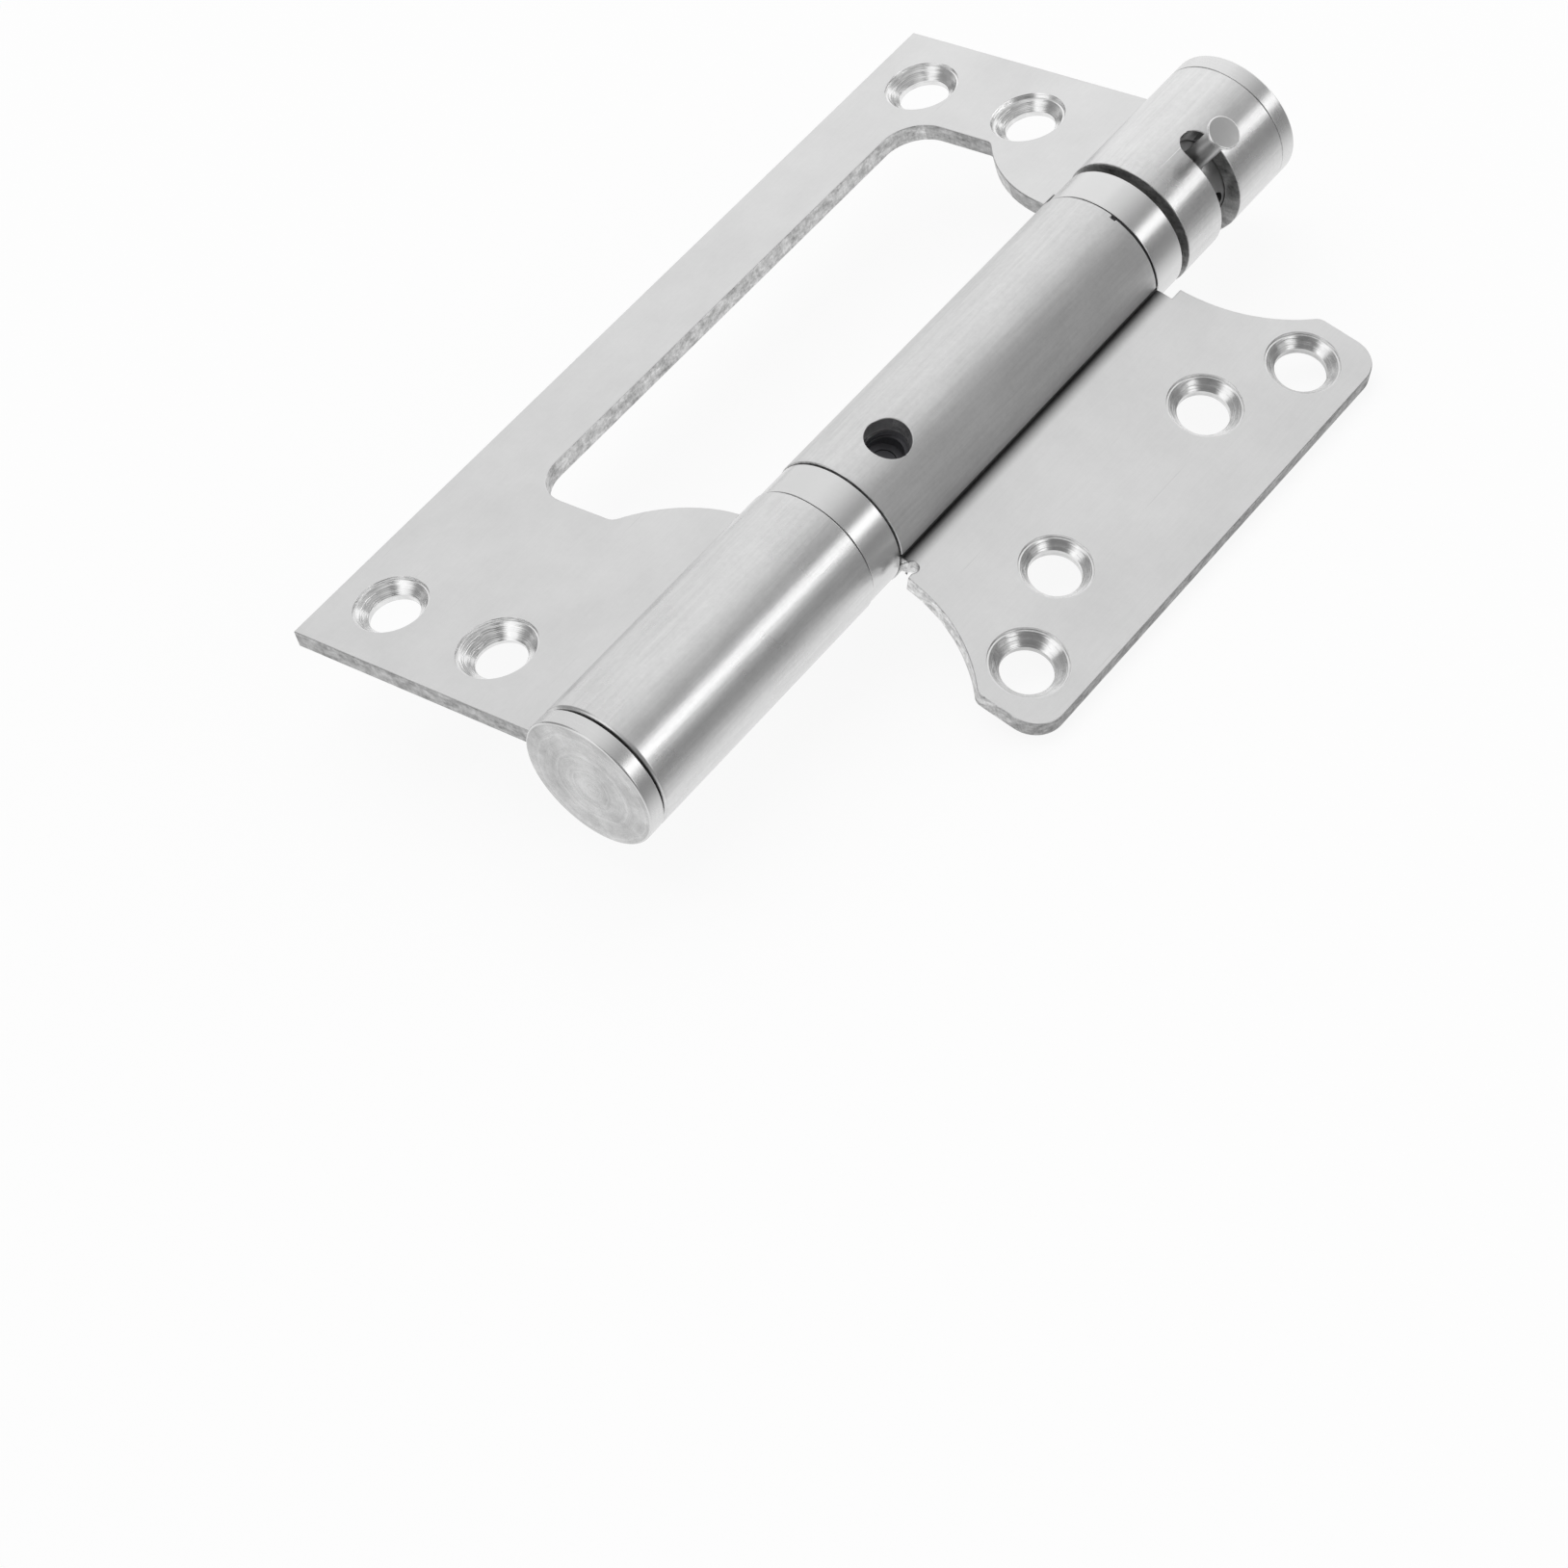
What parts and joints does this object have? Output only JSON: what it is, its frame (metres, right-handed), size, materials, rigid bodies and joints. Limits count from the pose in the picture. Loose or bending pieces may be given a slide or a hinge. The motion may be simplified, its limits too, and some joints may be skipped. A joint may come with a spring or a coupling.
{
  "type": "self-closing flush butt hinge",
  "caption": "Open flush butt hinge: a small leaf nests in the large leaf's window, round a spring barrel with end caps, bearing rings and a headed tension pin.",
  "frame": {"origin": "centre of the large leaf's four screw holes, on its back face", "axes": "+Z out of the large leaf's countersunk face, +Y along the barrel from the plain end cap to the slotted knuckle, +X from the large leaf towards the barrel and the small leaf"},
  "size_m": [0.0845, 0.1303, 0.0266],
  "materials": {
    "satin_steel": "satin, lightly brushed stainless sheet",
    "matt_steel": "matt stainless sheet",
    "turned_steel": "turned and polished stainless",
    "pin_steel": "matt turned steel",
    "liner_steel": "plain turned steel",
    "dark_steel": "oiled steel",
    "spring_steel": "oil-tempered spring wire",
    "damper_alloy": "plain aluminium",
    "white_acetal": "natural acetal",
    "grey_nylon": "dark nylon",
    "seal_rubber": "nitrile rubber"
  },
  "bodies": {
    "outer_leaf": {"outer_leaf": "satin_steel", "lower_end_cap": "turned_steel", "upper_end_cap": "turned_steel", "lower_bearing_ring": "turned_steel", "upper_bearing_ring": "turned_steel", "lower_thrust_washer": "grey_nylon", "damper_body": "damper_alloy", "damper_seal": "seal_rubber", "damper_retainer": "damper_alloy", "lower_bush": "white_acetal", "upper_bush": "white_acetal"},
    "inner_leaf": {"inner_leaf": "matt_steel", "centre_thrust_washer": "grey_nylon", "upper_thrust_washer": "grey_nylon", "knuckle_liner": "liner_steel", "spring_anchor": "dark_steel", "anchor_key": "dark_steel", "centre_bush": "white_acetal", "spindle": "liner_steel", "torsion_spring": "spring_steel", "damper_rotor": "white_acetal"},
    "adjusting_collar": {"adjusting_collar": "liner_steel"},
    "tension_pin": {"tension_pin": "pin_steel"}
  },
  "joints": [
    {"name": "leaf_hinge", "type": "hinge", "parent": "outer_leaf", "child": "inner_leaf", "pos_m": [0.03295, 0, 0.0012], "axis": [0, -1, 0], "range_deg": [-68.7, 201.3], "stiffness_Nm_per_rad": 0.6, "deforming": ["torsion_spring"]},
    {"name": "collar_turn", "type": "hinge", "parent": "outer_leaf", "child": "adjusting_collar", "pos_m": [0.03295, 0.051, 0.0012], "axis": [0, -1, 0], "range_deg": [-98, 10], "stiffness_Nm_per_rad": 0.6, "deforming": ["torsion_spring"]},
    {"name": "pin_pull", "type": "slide", "parent": "adjusting_collar", "child": "tension_pin", "axis": [0.6947, 0, 0.7193], "range_m": [0, 0.009]}
  ]
}
